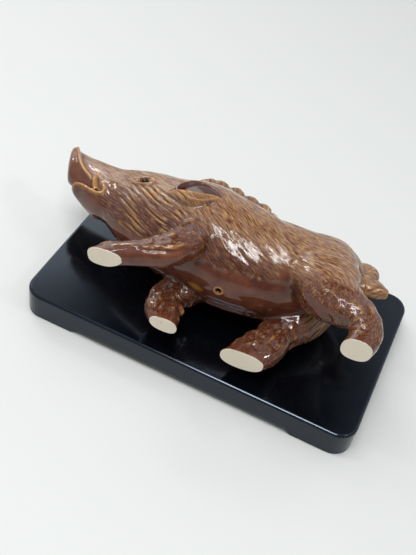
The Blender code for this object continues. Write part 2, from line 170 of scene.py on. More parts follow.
def settled(obj):
    # The object with its modifiers worked into its mesh.
    graph = bpy.context.evaluated_depsgraph_get()
    mesh = bpy.data.meshes.new_from_object(obj.evaluated_get(graph))
    obj.modifiers.clear()
    obj.data = mesh
    return obj


def grown(obj, rounds):
    # Grows overlapping surfaces into one skin, then softens it.
    remesh = obj.modifiers.new("Grow together", "REMESH")
    remesh.mode = "VOXEL"
    remesh.voxel_size = figure["voxel"] * unit
    smooth = obj.modifiers.new("Soften", "SMOOTH")
    smooth.factor = 0.5
    smooth.iterations = rounds
    return settled(obj)


def thinned(obj, share):
    # Collapses the flattest edges until that share of the triangles is left.
    thin = obj.modifiers.new("Thin out", "DECIMATE")
    thin.ratio = share
    return settled(obj)


def readMesh(mesh):
    points, normals = np.empty(len(mesh.vertices) * 3), np.empty(len(mesh.vertices) * 3)
    mesh.vertices.foreach_get("co", points)
    mesh.vertices.foreach_get("normal", normals)
    return points.reshape(-1, 3), normals.reshape(-1, 3)


def surfaceOf(obj):
    # A grown object's points in units and its faces, all with four corners, so that it can be
    # joined with other surfaces.
    points, _ = readMesh(obj.data)
    corners = np.empty(len(obj.data.loops), int)
    obj.data.loops.foreach_get("vertex_index", corners)
    bpy.data.objects.remove(obj, do_unlink=True)
    return points / unit, [corners.reshape(-1, 4)]


# Body. Rows: top x, z; bottom x, z; half width; height of the widest point as a share of the
# section; squareness (2 is an ellipse).
body = {
    "trunk": [
        (178.2, 34.0, 171.2, 15.0, 4.5, 0.50, 2.0),
        (178.8, 39.0, 167.8, 8.0, 9.5, 0.52, 2.0),
        (178.0, 42.0, 165.0, 3.5, 12.6, 0.50, 2.1),
        (175.2, 43.0, 160.8, 1.0, 13.4, 0.48, 2.1),
        (170.0, 39.5, 154.5, -1.5, 13.0, 0.50, 2.1),
        (163.0, 36.0, 148.0, -4.0, 14.0, 0.54, 2.1),
        (152.0, 32.0, 141.0, -8.5, 16.0, 0.60, 2.1),
        (140.0, 29.8, 133.0, -13.5, 17.8, 0.64, 2.1),
        (129.0, 28.2, 125.0, -19.5, 19.4, 0.66, 2.1),
        (118.0, 28.0, 116.0, -27.0, 22.0, 0.67, 2.1),
        (107.0, 29.5, 106.0, -34.0, 26.0, 0.67, 2.1),
        (97.0, 31.3, 97.0, -39.0, 29.5, 0.66, 2.1),
        (86.0, 32.6, 86.0, -43.5, 32.5, 0.64, 2.1),
        (75.0, 33.0, 75.0, -47.5, 35.0, 0.61, 2.1),
        (63.0, 34.0, 63.0, -51.0, 38.5, 0.58, 2.1),
        (50.0, 35.5, 50.0, -52.5, 43.0, 0.55, 2.1),
        (36.0, 37.0, 36.0, -56.5, 45.5, 0.55, 2.1),
        (20.0, 34.5, 20.0, -60.5, 46.0, 0.56, 2.1),
        (4.0, 29.5, 4.0, -62.5, 45.5, 0.56, 2.1),
        (-12.0, 25.6, -12.0, -62.0, 44.0, 0.56, 2.1),
        (-28.0, 23.8, -28.0, -60.0, 42.5, 0.55, 2.1),
        (-46.0, 23.0, -46.0, -55.0, 42.0, 0.55, 2.1),
        (-62.0, 22.6, -62.0, -48.0, 41.0, 0.52, 2.1),
        (-76.0, 22.4, -76.0, -41.0, 40.0, 0.50, 2.1),
        (-89.0, 20.0, -88.0, -33.0, 35.5, 0.49, 2.1),
        (-100.0, 15.5, -98.0, -24.0, 27.5, 0.47, 2.0),
        (-108.0, 7.5, -106.0, -14.0, 17.0, 0.47, 2.0),
        (-111.5, 0.0, -110.5, -7.0, 7.0, 0.50, 2.0),
    ],
    "jaw": [
        (155.0, -7.8, 153.8, -10.0, 2.6, 0.60, 2.0),
        (153.8, -6.6, 151.0, -11.2, 6.2, 0.75, 2.0),
        (148.3, -8.8, 145.2, -13.2, 9.4, 0.84, 2.0),
        (142.0, -11.6, 138.5, -17.0, 11.2, 0.86, 2.0),
        (132.0, -14.0, 128.5, -21.4, 12.8, 0.84, 2.0),
        (120.0, -11.0, 117.0, -26.0, 15.0, 0.80, 2.0),
        (106.0, -6.0, 104.0, -31.5, 18.0, 0.80, 2.0),
    ],
}

# Legs. Rows: x, y, z; half size across; half size fore and aft.
legs = {
    "foreLeft": [
        (28.0, 20.0, -28.0, 15.0, 16.0),
        (32.0, 29.0, -50.0, 13.5, 14.5),
        (35.5, 32.0, -64.5, 11.6, 14.0),
        (44.0, 31.0, -75.0, 10.8, 12.8),
        (60.0, 28.2, -83.0, 9.4, 10.0),
        (73.5, 24.6, -87.2, 8.6, 9.0),
        (83.3, 22.2, -91.6, 8.3, 9.6),
        (91.8, 20.4, -101.5, 8.3, 9.6),
    ],
    "foreRight": [
        (18.0, -20.0, -30.0, 17.0, 18.0),
        (30.0, -24.0, -50.0, 14.0, 16.0),
        (37.5, -25.0, -64.0, 12.0, 14.0),
        (38.0, -25.0, -73.0, 10.8, 14.0),
        (35.0, -24.8, -82.0, 9.4, 14.0),
        (29.5, -24.7, -90.5, 7.8, 11.5),
        (25.2, -24.7, -98.5, 6.8, 8.6),
        (21.0, -24.7, -107.0, 6.4, 8.4),
    ],
    "hindLeft": [
        (-64.0, 10.0, 0.0, 27.0, 33.0),
        (-68.0, 17.0, -14.0, 25.5, 33.0),
        (-77.0, 22.0, -30.0, 22.0, 30.0),
        (-88.0, 24.0, -47.0, 19.0, 24.5),
        (-102.0, 28.0, -58.5, 14.5, 17.0),
        (-114.0, 29.5, -66.0, 11.6, 13.0),
        (-120.0, 28.0, -76.0, 10.8, 12.2),
        (-120.3, 26.5, -86.0, 10.6, 11.8),
        (-117.2, 25.3, -96.0, 10.2, 11.0),
        (-115.0, 24.5, -106.0, 10.4, 11.4),
    ],
    "hindRight": [
        (-64.0, -10.0, 0.0, 27.0, 33.0),
        (-67.0, -17.0, -18.0, 24.0, 30.5),
        (-67.0, -22.0, -33.0, 19.0, 25.0),
        (-61.5, -26.0, -47.0, 14.5, 19.0),
        (-56.0, -28.0, -60.0, 12.2, 14.8),
        (-53.0, -28.5, -71.0, 11.8, 16.0),
        (-47.0, -29.5, -82.0, 10.6, 16.8),
        (-39.5, -30.3, -92.0, 9.4, 14.6),
        (-32.5, -31.0, -104.0, 9.0, 14.0),
    ],
}
dewclaw = [
    (34.0, -24.0, -72.0, 7.0, 8.0), (25.5, -24.0, -75.5, 5.2, 6.2), (19.5, -24.2, -78.2, 2.6, 3.0),
]

tail = {
    "loop": [
        (-95.0, 4.0, 11.0, 8.0, 8.0),
        (-102.5, 7.0, 13.0, 7.5, 8.4),
        (-109.0, 9.5, 10.0, 7.5, 8.0),
        (-111.0, 11.0, 4.5, 7.0, 7.6),
        (-107.5, 12.0, -2.0, 7.0, 7.5),
    ],
    "tip": [
        (-101.0, 12.0, -6.0, 7.5, 8.5),
        (-110.0, 13.0, -9.5, 7.5, 9.5),
        (-119.5, 13.0, -10.0, 6.5, 8.5),
        (-128.5, 12.0, -9.5, 3.0, 4.0),
    ],
}

# Mane: x, z of each tuft's highest point; x, z of its rounded end.
mane = {
    "tufts": [
        (45.5, 58.8, 41.5, 57.0),
        (38.0, 61.0, 31.0, 58.5),
        (23.0, 58.5, 15.5, 54.5),
        (8.0, 54.0, 0.5, 50.0),
        (-5.5, 50.0, -12.5, 45.0),
    ],
    "lean": 10.0,
    "root": [
        (80.0, 0.0, 26.0, 4.0, 4.5),
        (66.0, 3.0, 31.5, 6.0, 9.0),
        (50.0, 5.0, 37.0, 7.0, 11.5),
        (34.0, 6.0, 42.0, 7.5, 12.0),
        (18.0, 6.0, 39.5, 7.5, 11.0),
        (2.0, 5.5, 33.0, 7.0, 9.0),
        (-20.0, 3.0, 22.5, 4.0, 4.5),
    ],
}

# Each row of the ear runs across it: upper rim, fold and lower edge as x, y, z.
ears = {
    "rows": [
        (66.5, 36.0, -9.0, 66.5, 37.5, -11.0, 66.5, 37.0, -13.0),
        (62.5, 42.5, -7.0, 61.0, 44.0, -14.5, 60.0, 42.5, -17.5),
        (58.5, 44.8, -1.5, 55.5, 46.8, -16.0, 52.5, 45.8, -20.5),
        (52.5, 46.0, 3.0, 48.5, 48.4, -15.6, 44.0, 47.6, -22.6),
        (45.0, 46.6, 5.2, 41.5, 48.9, -14.4, 36.5, 48.2, -21.4),
        (37.0, 46.6, 3.2, 35.0, 49.0, -12.8, 31.0, 48.2, -17.5),
        (29.0, 47.0, -1.2, 28.5, 48.6, -10.2, 26.0, 47.8, -12.8),
        (22.5, 46.5, -7.0, 22.5, 47.0, -8.5, 22.5, 46.5, -10.0),
    ],
    "bowl": 5.6,
}

face = {
    "snoutRim": [
        (176.0, 0.0, 43.0), (173.8, 7.0, 39.5), (170.4, 11.5, 33.0), (163.6, 13.8, 21.0),
        (157.0, 14.0, 12.0), (150.5, 14.0, 5.5), (143.5, 14.0, 0.5), (138.5, 13.5, -4.0),
    ],
    "lowerLip": [
        (155.2, 0.0, -6.6), (153.2, 5.0, -6.4), (148.4, 8.2, -8.0), (142.0, 10.6, -11.0),
        (134.5, 12.0, -14.6), (127.5, 13.4, -16.8), (123.5, 14.6, -14.0), (125.5, 15.0, -8.2),
        (130.0, 15.0, -3.6),
    ],
    "tusk": [
        (131.0, 12.5, -12.2, 1.9, 2.4), (134.5, 14.4, -7.5, 1.8, 2.3),
        (137.0, 15.6, -2.2, 1.4, 1.8), (137.8, 15.6, 2.8, 0.7, 0.9),
    ],
    "eye": (92.5, 29.8, -1.0),
    "eyeRadius": 3.0,
    "lipRadius": 1.5,
    "lidRadius": 0.8,
    "socketDepth": 1.2,
    "nostrilDepth": 1.6,
    "wrinkleDepth": 0.45,
    "nostril": ((175.2, 5.0, 36.0), (172.8, 5.0, 26.0)),
    "wrinkles": [
        [(84.0, 32.5, 4.5), (81.5, 33.0, 0.0), (83.0, 32.8, -5.0), (88.0, 31.6, -8.5)],
        [(104.5, 27.0, -6.5), (98.5, 29.0, -8.5), (92.0, 30.5, -9.5)],
        [(104.0, 26.0, 2.0), (98.0, 28.4, 5.5), (90.0, 30.0, 7.8)],
        [(121.0, 17.0, -20.0), (118.5, 18.5, -12.0), (122.0, 18.5, -5.0)],
        [(116.0, 20.0, -18.0), (114.0, 21.0, -11.0), (116.5, 21.0, -5.0)],
    ],
    "lid": [
        (102.0, 27.8, -4.0), (98.0, 30.4, 1.2), (91.5, 31.8, 4.4), (85.0, 32.8, 2.0),
        (86.5, 32.4, -3.2), (93.0, 30.9, -5.4), (102.0, 27.8, -4.0),
    ],
}

coat = {
    # Where the flank's coat ends over the haunch: z and x.
    "haunchCrease": [(-52.0, -55.0), (-45.0, -51.0), (-33.0, -48.0), (-26.0, -43.0),
                     (-19.0, -35.0), (-5.0, -27.0), (6.0, -22.0)],
    # The edge between coat and bare skin underneath: x and distance from the middle.
    "hem": [(-120.0, 2.0), (-77.0, 0.0), (-66.0, 6.0), (-58.0, 12.0), (-52.0, 20.0), (20.0, 20.0),
            (40.0, 17.0), (60.0, 12.0), (74.0, 9.0), (86.0, 8.0), (100.0, 5.0), (111.0, 3.0),
            (128.0, 12.0), (150.0, 14.0)],
    # Depths, and the width and length of a lock, in units.
    "creaseDepth": 1.6,
    "hemDepth": 1.1,
    "flankLocks": 0.45,
    "flankLock": (2.7, 15.0),
    "ruffLocks": 1.75,
    "ruffLock": (3.7, 9.0),
    "legLocks": 0.7,
    "legLock": (4.0, 4.5),
    "legHairShare": 0.85,  # how much of the legs' colour follows their hairs
    "foreStep": 0.9,  # from the left foreleg's coat down to its bare underside
    # Where the painted shade under cheek and flank starts, as x and z, and how far below it is
    # darkest.
    "paintedShadeFrom": [(-80, -46), (-40, -36), (40, -26), (80, -8), (110, 0), (140, 2)],
    "paintedShadeFade": 20.0,
    # Where the left thigh's coat ends above its bare inner side: x and z.
    "thighFold": [(-102.4, -80.0), (-89.8, -70.0), (-77.7, -65.4), (-66.2, -60.5), (-57.6, -52.5),
                  (-48.6, -41.0)],
    # Which way the coat is combed on the unrolled body: x, girth from the widest line, and
    # degrees below straight back.
    "combing": [
        (127, 4, -12), (123, -25, 41), (121, -9, 12), (119, -2, 14), (110, -2, 12), (102, -25, 36),
        (95, -22, 25), (93, -12, 17), (89, -25, 34), (84, -28, 33), (83, 3, 11), (75, -35, 37),
        (74, -7, 6), (73, -30, 29), (72, -13, 13), (62, -27, 30), (61, -21, 28), (54, -24, 27),
        (51, -17, 30), (36, -25, 38), (29, -18, 26), (25, -27, 31), (20, -15, 21), (17, -35, 38),
        (10, -19, 22), (4, -41, 20), (-1, -9, 32), (-5, -20, 25), (-6, -47, 2), (-7, -12, 33),
        (-14, -5, 40), (-16, -34, 18), (-20, -13, 39), (-27, -4, 47), (-31, -5, 54), (-32, -28, 36),
        (-36, -27, 40), (-40, -44, 4), (-42, -1, 44), (-47, 1, 28), (-53, -19, 33), (-53, 5, 16),
        (-60, -25, 29), (-62, 1, 42), (-70, -31, 4), (-74, -21, 35), (-80, 1, 39), (-83, -31, -10),
        (-86, -16, 33), (-87, -33, -22), (-89, 3, 14), (-90, 0, 28), (-92, -28, -28), (-93, -18, 8),
        (-101, -20, -26), (160, 0, 0), (160, 30, 0), (120, 40, 0), (60, 50, 8), (0, 50, 14),
        (-60, 50, 16), (-100, 40, 10),
    ],
}


def earSurface(side):
    # A leaf laid back on the neck. Each section starts at the upper rim, dips into the bowl,
    # rises over the fold, runs down a furred band to the lower edge and back underneath. The
    # bowl gets shallower where the section is narrow.
    rows = through(ears["rows"], 7)
    rim, fold, hem = rows[:, 0:3], rows[:, 3:6], rows[:, 6:9]
    out = np.array([0.0, 0.93, 0.37])
    width = np.linalg.norm(rim - hem, axis=1, keepdims=True)
    bowl = ears["bowl"] * np.clip(width / 24.0, 0, 1) * out
    deep = 6.0 * out
    line = [
        rim - 0.4 * out,
        0.82 * rim + 0.18 * fold - 0.7 * bowl,
        0.55 * rim + 0.45 * fold - bowl,
        0.25 * rim + 0.75 * fold - 0.8 * bowl,
        0.05 * rim + 0.95 * fold,
        0.75 * fold + 0.25 * hem + 0.4 * out,
        0.35 * fold + 0.65 * hem + 0.4 * out,
        hem,
        hem - 1.2 * deep,
        0.5 * (rim + hem) - 1.6 * deep,
        rim + 0.12 * (rim - hem) - 1.2 * deep,
        rim + 0.06 * (rim - hem) - 0.3 * deep,
    ]
    rings = np.stack(line, 1)
    if side < 0:  # the ear underneath is pressed closer, clear of the board
        rings = rings[:, ::-1] * [1.0, -0.86, 1.0] + [0.0, 0.0, 7.0]
    return skinRings(rings)


def tuftSurface(topX, topZ, endX, endZ):
    lean = mane["lean"]
    return limb([
        (topX + 14, 0.4 * lean, topZ - 18.0, 7.5, 9.0),
        (topX + 3, 0.9 * lean, topZ - 8.5, 6.5, 8.0),
        (endX + 4.5, lean, 0.5 * (topZ + endZ) - 6.5, 5.5, 6.5),
        (endX + 1.0, lean, endZ - 5.0, 3.8, 4.6),
    ], around=24)


def bump(v, low, high, soft):
    # 1 between low and high, fading to 0 over the soft width at each end.
    rise = np.clip((v - low) / soft + 0.5, 0, 1)
    fall = np.clip((high - v) / soft + 0.5, 0, 1)
    return (rise * rise * (3 - 2 * rise)) * (fall * fall * (3 - 2 * fall))


def ridges(phase):
    # Rounded locks with a sharp groove between two of them, from -1 to 0.
    return -((2 * np.abs(phase - np.floor(phase) - 0.5)) ** 3)


def smoothNoise(u, v, seed):
    # Random values on a whole-number lattice, blended smoothly between its corners: -1 to 1.
    lattice = np.random.default_rng(seed).uniform(-1, 1, (256, 256))
    i, j = np.floor(u).astype(int), np.floor(v).astype(int)
    f, g = u - i, v - j
    f, g = f * f * (3 - 2 * f), g * g * (3 - 2 * g)
    a, b = lattice[i % 256, j % 256], lattice[(i + 1) % 256, j % 256]
    c, d = lattice[i % 256, (j + 1) % 256], lattice[(i + 1) % 256, (j + 1) % 256]
    return (a * (1 - f) + b * f) * (1 - g) + (c * (1 - f) + d * f) * g


def unrolled(points):
    # The body unrolled: x, and the girth measured from its widest line, up to its back.
    rows = np.array(body["trunk"])[2:]
    middle = 0.5 * (rows[:, 0] + rows[:, 2])
    order = np.argsort(middle)
    x = points[:, 0]
    top, bottom, half, share = (np.interp(x, middle[order], rows[order, k]) for k in (1, 3, 4, 5))
    level = bottom + (top - bottom) * share
    rise = points[:, 2] - level
    up = np.where(rise > 0, rise / (top - level), rise / (level - bottom))
    radius = 0.5 * (half + 0.5 * (top - bottom))
    return x, radius * np.arctan2(up, np.maximum(np.abs(points[:, 1]) / half, 1e-3))


def flatPotential(alongX, alongY):
    # The surface over a grid whose slopes come nearest to the wanted ones (least squares),
    # solved as a sum of cosines.
    rows, columns = alongX.shape
    fall = np.zeros((rows, columns))
    stepX = 0.5 * (alongX[1:] + alongX[:-1])
    stepY = 0.5 * (alongY[:, 1:] + alongY[:, :-1])
    fall[:-1] += stepX
    fall[1:] -= stepX
    fall[:, :-1] += stepY
    fall[:, 1:] -= stepY
    even = np.concatenate([fall, fall[::-1]], 0)
    even = np.concatenate([even, even[:, ::-1]], 1)
    k = 2 * np.cos(math.pi * np.arange(2 * rows) / rows)[:, None] - 2
    m = 2 * np.cos(math.pi * np.arange(2 * columns) / columns)[None] - 2
    size = k + m
    size[0, 0] = 1.0
    waves = np.fft.fft2(even) / size
    waves[0, 0] = 0.0
    return np.real(np.fft.ifft2(waves))[:rows, :columns]


def combedCoordinates(points):
    # Two coordinates in units on the coat: across the hairs, and along them. The combing's
    # angles are blended by distance on a grid, and two sheets whose slopes run across and
    # along the blended angle are read off at each point.
    step = 2.5
    gridX, gridS = np.arange(-140, 190, step), np.arange(-80, 80, step)
    x, s = np.meshgrid(gridX, gridS, indexing="ij")
    guide = np.array(coat["combing"], float)
    away = (x[..., None] - guide[:, 0]) ** 2 + (s[..., None] - guide[:, 1]) ** 2
    weight = np.exp(-away / (2 * 11.0**2)) + 1e-4 / (1 + away)
    angle = np.radians((weight * guide[:, 2]).sum(-1) / weight.sum(-1))
    across = flatPotential(np.sin(angle) * step, -np.cos(angle) * step)
    along = flatPotential(-np.cos(angle) * step, -np.sin(angle) * step)
    px, ps = unrolled(points)
    i = np.clip((px - gridX[0]) / step, 0, len(gridX) - 1.001)
    j = np.clip((ps - gridS[0]) / step, 0, len(gridS) - 1.001)
    a, b = i.astype(int), j.astype(int)
    f, g = i - a, j - b
    result = []
    for sheet in (across, along):
        low = sheet[a, b] * (1 - f) + sheet[a + 1, b] * f
        high = sheet[a, b + 1] * (1 - f) + sheet[a + 1, b + 1] * f
        result.append(low * (1 - g) + high * g)
    return result


def legCoordinates(points):
    # Where a point lies round and along the nearest leg, in units: its turn round the leg's
    # centre line times the leg's radius, and its run along that line. The third value is how
    # surely it belongs to a leg.
    count = len(points)
    best = np.full(count, 1e9)
    across, along = np.zeros(count), np.zeros(count)
    for number, table in enumerate(legs.values()):
        rows = through(table, 8)
        centre = rows[:, :3]
        run = np.concatenate([[0], np.cumsum(np.linalg.norm(np.diff(centre, axis=0), axis=1))])
        ahead = np.gradient(centre, axis=0)
        ahead /= np.linalg.norm(ahead, axis=1, keepdims=True)
        side = np.array([0.0, 1.0, 0.0]) - ahead * ahead[:, 1:2]
        side /= np.linalg.norm(side, axis=1, keepdims=True)
        third = np.cross(ahead, side)
        near = np.nonzero(points[:, 2] < -38)[0]
        p = points[near]
        gap = (p**2).sum(1)[:, None] - 2 * p @ centre.T + (centre**2).sum(1)[None]
        k = gap.argmin(1)
        radius = 0.5 * (rows[k, 3] + rows[k, 4])
        away = np.sqrt(np.maximum(gap[np.arange(len(k)), k], 0)) / radius
        better = away < best[near]
        near, k, radius, p = near[better], k[better], radius[better], p[better]
        best[near] = away[better]
        off = p - centre[k]
        turn = np.arctan2((off * third[k]).sum(1), (off * side[k]).sum(1))
        across[near] = turn * radius + 40.0 * number
        along[near] = run[k] + (off * ahead[k]).sum(1)
    low = np.where(points[:, 0] < -80, -50.0, -54.0)
    surely = np.clip((low - points[:, 2]) / 10.0 + 0.5, 0, 1)
    close = np.clip((1.55 - best) / 0.3, 0, 1)
    return across, along, surely * surely * (3 - 2 * surely) * close


def coatMask(points):
    # 1 on the coat, 0 on the bare belly, throat, nose disc, ear bowl and eye. Each edge fades
    # from one to the other over a few units.
    x, y, z = points.T
    out = np.abs(y)
    hem = np.array(coat["hem"])
    edge = np.interp(x, hem[:, 0], hem[:, 1]) + np.where(y < 0, 16.0 * bump(x, -70, 60, 30), 0)
    over = (out - edge) / 3.0
    low = np.interp(x, [-60, 60, 100, 130], [-26, -26, -16, -6])
    mask = np.maximum(np.clip(over + 0.5, 0, 1), np.clip((z - low) / 6.0 + 0.5, 0, 1))
    rim = np.array(face["snoutRim"])
    mask *= np.clip((np.interp(z, rim[::-1, 2], rim[::-1, 0]) - 4.0 - x) / 4.0, 0, 1)
    eyeAway = np.linalg.norm(np.stack([x, out, z], -1) - face["eye"], axis=1)
    mask *= np.clip((eyeAway - 5.0) / 2.5, 0, 1)
    rows = through(ears["rows"], 4)
    bowl = 0.62 * rows[:, 0:3] + 0.38 * rows[:, 3:6]
    width = np.linalg.norm(rows[:, 0:3] - rows[:, 3:6], axis=1)
    near = (out > 30) & (x > 15) & (x < 72)
    gap = np.linalg.norm(points[near][:, None] - bowl[None], axis=2)
    share = (gap / np.maximum(0.62 * width, 1.0)).min(1)
    inBowl = np.zeros(len(points))
    inBowl[near] = np.clip((1.15 - share) / 0.3, 0, 1) * (y[near] > 0)
    return mask * (1 - inBowl)


def fromLine(points, rows, reach):
    # Distance to the curve through the rows, for points nearer than the reach; others keep it.
    line = through(rows, 8)
    away = np.full(len(points), float(reach))
    low, high = line.min(0) - reach, line.max(0) + reach
    near = np.nonzero(((points > low) & (points < high)).all(1))[0]
    p = points[near]
    gap = (p**2).sum(1)[:, None] - 2 * p @ line.T + (line**2).sum(1)[None]
    away[near] = np.minimum(np.sqrt(np.maximum(gap.min(1), 0)), reach)
    return away


def bareLeg(points, normals):
    # 1 on the smooth inner side of the left thigh and the underside of the left foreleg.
    x, y, z = points.T
    fold = np.array(coat["thighFold"])
    thigh = bump(x, -106, -44, 6) * np.clip((np.interp(x, fold[:, 0], fold[:, 1]) - z) / 4, 0, 1)
    fore = bump(x, 18, 120, 8) * np.clip((-normals[:, 2] - 0.42) / 0.16, 0, 1) * (z < -50)
    return np.maximum(thigh * (y > -4), fore * (y > 4))


def paintedShadeAndLegTone(points, onLeg):
    # 1 where shade is painted under the cheek and flank, and 0.9 down the legs.
    x, _, z = points.T
    start = np.array(coat["paintedShadeFrom"])
    below = np.interp(x, start[:, 0], start[:, 1]) - z
    low = np.clip(below / coat["paintedShadeFade"], 0, 1) * bump(x, -100, 150, 20)
    return np.maximum(low, 0.9 * onLeg)


def carve(points, normals):
    # Pushes the skin out or in along its normals. Each feature is a depth times a mask that
    # fades it out times a profile: tanh for a step, exp of minus a square for a groove, and
    # noise or ridges across the hairs for locks.
    x, y, z = points.T
    out = np.abs(y)
    # Haunch crease and hem: steps whose edges wander with noise.
    crease = np.array(coat["haunchCrease"])
    ahead = x - np.interp(z, crease[:, 0], crease[:, 1]) + 2.2 * smoothNoise(z / 3.0, y / 7.0, 9)
    near = bump(z, -47, 22, 12) * bump(out, 14, 60, 8)
    push = coat["creaseDepth"] * near * np.tanh(ahead / 2.6) * np.exp(-np.abs(ahead) / 10)
    under = bump(z, -90, -30, 14) * bump(x, -52, 20, 10)
    past = out - 20.0 + 1.8 * smoothNoise(x / 3.0, z / 9.0, 10)
    fade = np.where(past > 0, 14, 5)
    push += coat["hemDepth"] * under * np.tanh(past / 2.4) * np.exp(-np.abs(past) / fade)

    # Locks on flank and haunch, then the deeper ridges of the ruff, broken into tufts.
    u, v = combedCoordinates(points)
    bare = bareLeg(points, normals)
    legU, legV, onLeg = legCoordinates(points)
    trunkMask = coatMask(points) * (1 - bare) * (1 - onLeg)
    width, length = coat["flankLock"]
    wave = smoothNoise(u / width, v / length, 3) + 0.6 * smoothNoise(u / 6.0, v / 20.0, 4)
    ruff = bump(x, 44, 104, 14) * bump(z, -46, -6, 12) * bump(out, 8, 60, 8)
    push += coat["flankLocks"] * trunkMask * (1 - ruff) * (wave - 0.5)
    bend = 0.35 * smoothNoise(u / 14.0, v / 40.0, 5)
    width, length = coat["ruffLock"]
    tufts = 0.65 + 0.75 * smoothNoise(u / width, v / length, 7)
    push += coat["ruffLocks"] * trunkMask * ruff * tufts * (ridges(u / width + bend) + 0.3)

    # Curly locks on the legs. The left foreleg's coat ends in a step and a groove along the
    # line where it turns under, and its bare underside swells and sinks along the leg.
    width, length = coat["legLock"]
    curls = smoothNoise(legU / width, legV / length, 8)
    curls += 0.6 * smoothNoise(legU / 4.5, legV / 12.0, 6)
    push += coat["legLocks"] * onLeg * (1 - bare) * curls
    fore = onLeg * (y > 4) * (x > 0)
    push += fore * 0.55 * bare * smoothNoise(legV / 5.5, 0 * legV, 12)
    turnsUnder = np.exp(-(((-normals[:, 2] - 0.5) / 0.17) ** 2))
    push += fore * coat["foreStep"] * (1 - bare - turnsUnder)

    # Grooves of the face: nostrils, eye sockets and the folds round eye and mouth.
    start, end = (np.array(p) for p in face["nostril"])
    mirrored = np.stack([x, out, z], -1)
    slit = fromLine(mirrored, [start, 0.5 * (start + end) + [0.6, 1.2, 0], end], 4.0)
    push -= face["nostrilDepth"] * np.exp(-((slit / 1.3) ** 2))
    socket = np.linalg.norm(mirrored - face["eye"], axis=1) / face["eyeRadius"]
    push -= face["socketDepth"] * np.exp(-(socket**4) / 2)
    for row in face["wrinkles"]:
        push -= face["wrinkleDepth"] * np.exp(-(fromLine(mirrored, row, 5.0) ** 2))

    # The vent: a low rim round a smooth well in the belly.
    ventX, ventY, ventRadius, ventDepth = figure["vent"]
    fromVent = np.hypot(x - ventX, y - ventY) / ventRadius
    underneath = z < -50
    hole = np.clip(1.25 - fromVent, 0, 1)
    push += np.where(underneath, 0.35 * np.exp(-((fromVent - 1.7) / 0.5) ** 2), 0)
    moved = points + normals * (push * bump(z, -88, 90, 5))[:, None]
    moved[:, 2] += np.where(underneath, ventDepth * hole * hole * (3 - 2 * hole), 0)
    return moved


def softened(obj, points, rounds):
    # Moves each point halfway to its neighbours' average, again and again.
    edges = np.empty(len(obj.data.edges) * 2, int)
    obj.data.edges.foreach_get("vertices", edges)
    a, b = edges.reshape(-1, 2).T
    count = len(points)
    share = np.maximum(np.bincount(a, minlength=count) + np.bincount(b, minlength=count), 1)
    soft = points.copy()
    for _ in range(rounds):
        total = np.stack([
            np.bincount(a, soft[b, k], count) + np.bincount(b, soft[a, k], count) for k in range(3)
        ], -1)
        soft = 0.5 * soft + 0.5 * total / share[:, None]
    return soft


def turnOut(obj):
    # Turns every face outward.
    form = bmesh.new()
    form.from_mesh(obj.data)
    bmesh.ops.recalc_face_normals(form, faces=form.faces[:])
    form.to_mesh(obj.data)
    form.free()


def layDown(points):
    # Turns points from the boar's frame onto its right side, in metres.
    fwd, lat, dor = Vector((-1, 0, 0)), Vector((0, 0, 1)), Vector((0, 1, 0))
    swing = Matrix.Rotation(figure["heading"], 3, "Z")
    fwd, lat, dor = swing @ fwd, swing @ lat, swing @ dor
    tip = Matrix.Rotation(-figure["roll"], 3, fwd)
    lat, dor = tip @ lat, tip @ dor
    turn = np.array(Matrix((fwd, lat, dor)).transposed())
    return points @ turn.T * unit


def layOn(points):
    # Lays points on the board, with the skin's lowest point level with the CAD boar's lowest.
    boardLow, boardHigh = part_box("display_board")
    middle = [0.5 * (boardLow[k] + boardHigh[k]) + figure["sitsAt"][k] * unit for k in (0, 1)]
    return layDown(points) + [*middle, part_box("boar")[0][2] - lowest]


# Spots in units: middle and half sizes.
spots = {
    # The groin: painted shade in the hollow between belly and thigh.
    "groin": ((-56.0, 20.0, -54.0), (9.0, 12.0, 6.0)),  # a dark hollow on each side
    "patch": ((18.0, -7.0, -60.0), (8.5, 4.6, 8.0)),  # thin ochre glaze on the belly
}


def fromSpot(points, middle, halfSizes):
    # Distance from a spot, where 1 is its edge.
    return np.linalg.norm((points - middle) / np.array(halfSizes), axis=1)


def cutSoles(obj):
    # Cuts the legs off flat at the level of the soles and closes them with flat faces.
    form = bmesh.new()
    form.from_mesh(obj.data)
    everything = form.verts[:] + form.edges[:] + form.faces[:]
    level = Vector((0, 0, figure["soleLevel"] * unit))
    cut = bmesh.ops.bisect_plane(form, geom=everything, plane_co=level, plane_no=(0, 0, -1),
                                 clear_outer=True, dist=1e-7)["geom_cut"]
    rims = [e for e in cut if isinstance(e, bmesh.types.BMEdge)]
    caps = bmesh.ops.holes_fill(form, edges=rims, sides=0)["faces"]
    bmesh.ops.triangulate(form, faces=caps)
    for edge in rims:
        if edge.is_valid:
            edge.smooth = False
    bmesh.ops.recalc_face_normals(form, faces=form.faces[:])
    form.to_mesh(obj.data)
    form.free()


print("boar: growing the body")
surfaces = [trunk(body["trunk"]), trunk(body["jaw"], around=40)]
surfaces += [limb(rows, square=figure["legSquare"]) for rows in legs.values()]
surfaces.append(limb(dewclaw, around=14))
base = grown(joined("base", surfaces), figure["bodySoftening"])
surfaces = [surfaceOf(base), limb(mane["root"], around=24)]
surfaces += [tuftSurface(*row) for row in mane["tufts"]]
surfaces += [limb(tail["loop"], around=24), limb(tail["tip"], around=24)]
for side in (1, -1):
    surfaces += [
        earSurface(side),
        cord(face["snoutRim"], face["lipRadius"], side),
        cord(face["lowerLip"], face["lipRadius"], side),
        cord(face["lid"], face["lidRadius"], side),
        limb([(x, side * y, z, a, b) for x, y, z, a, b in face["tusk"]], around=14, square=2.0),
    ]
boar = grown(joined("boarSkin", surfaces), figure["skinSoftening"])
print("boar: carving", len(boar.data.polygons), "faces")
points, normals = readMesh(boar.data)
points /= unit
x, y, z = points.T
haunch = bump(x, -84, -36, 16) * bump(z, -46, 16, 14) * bump(y, 20, 60, 10)
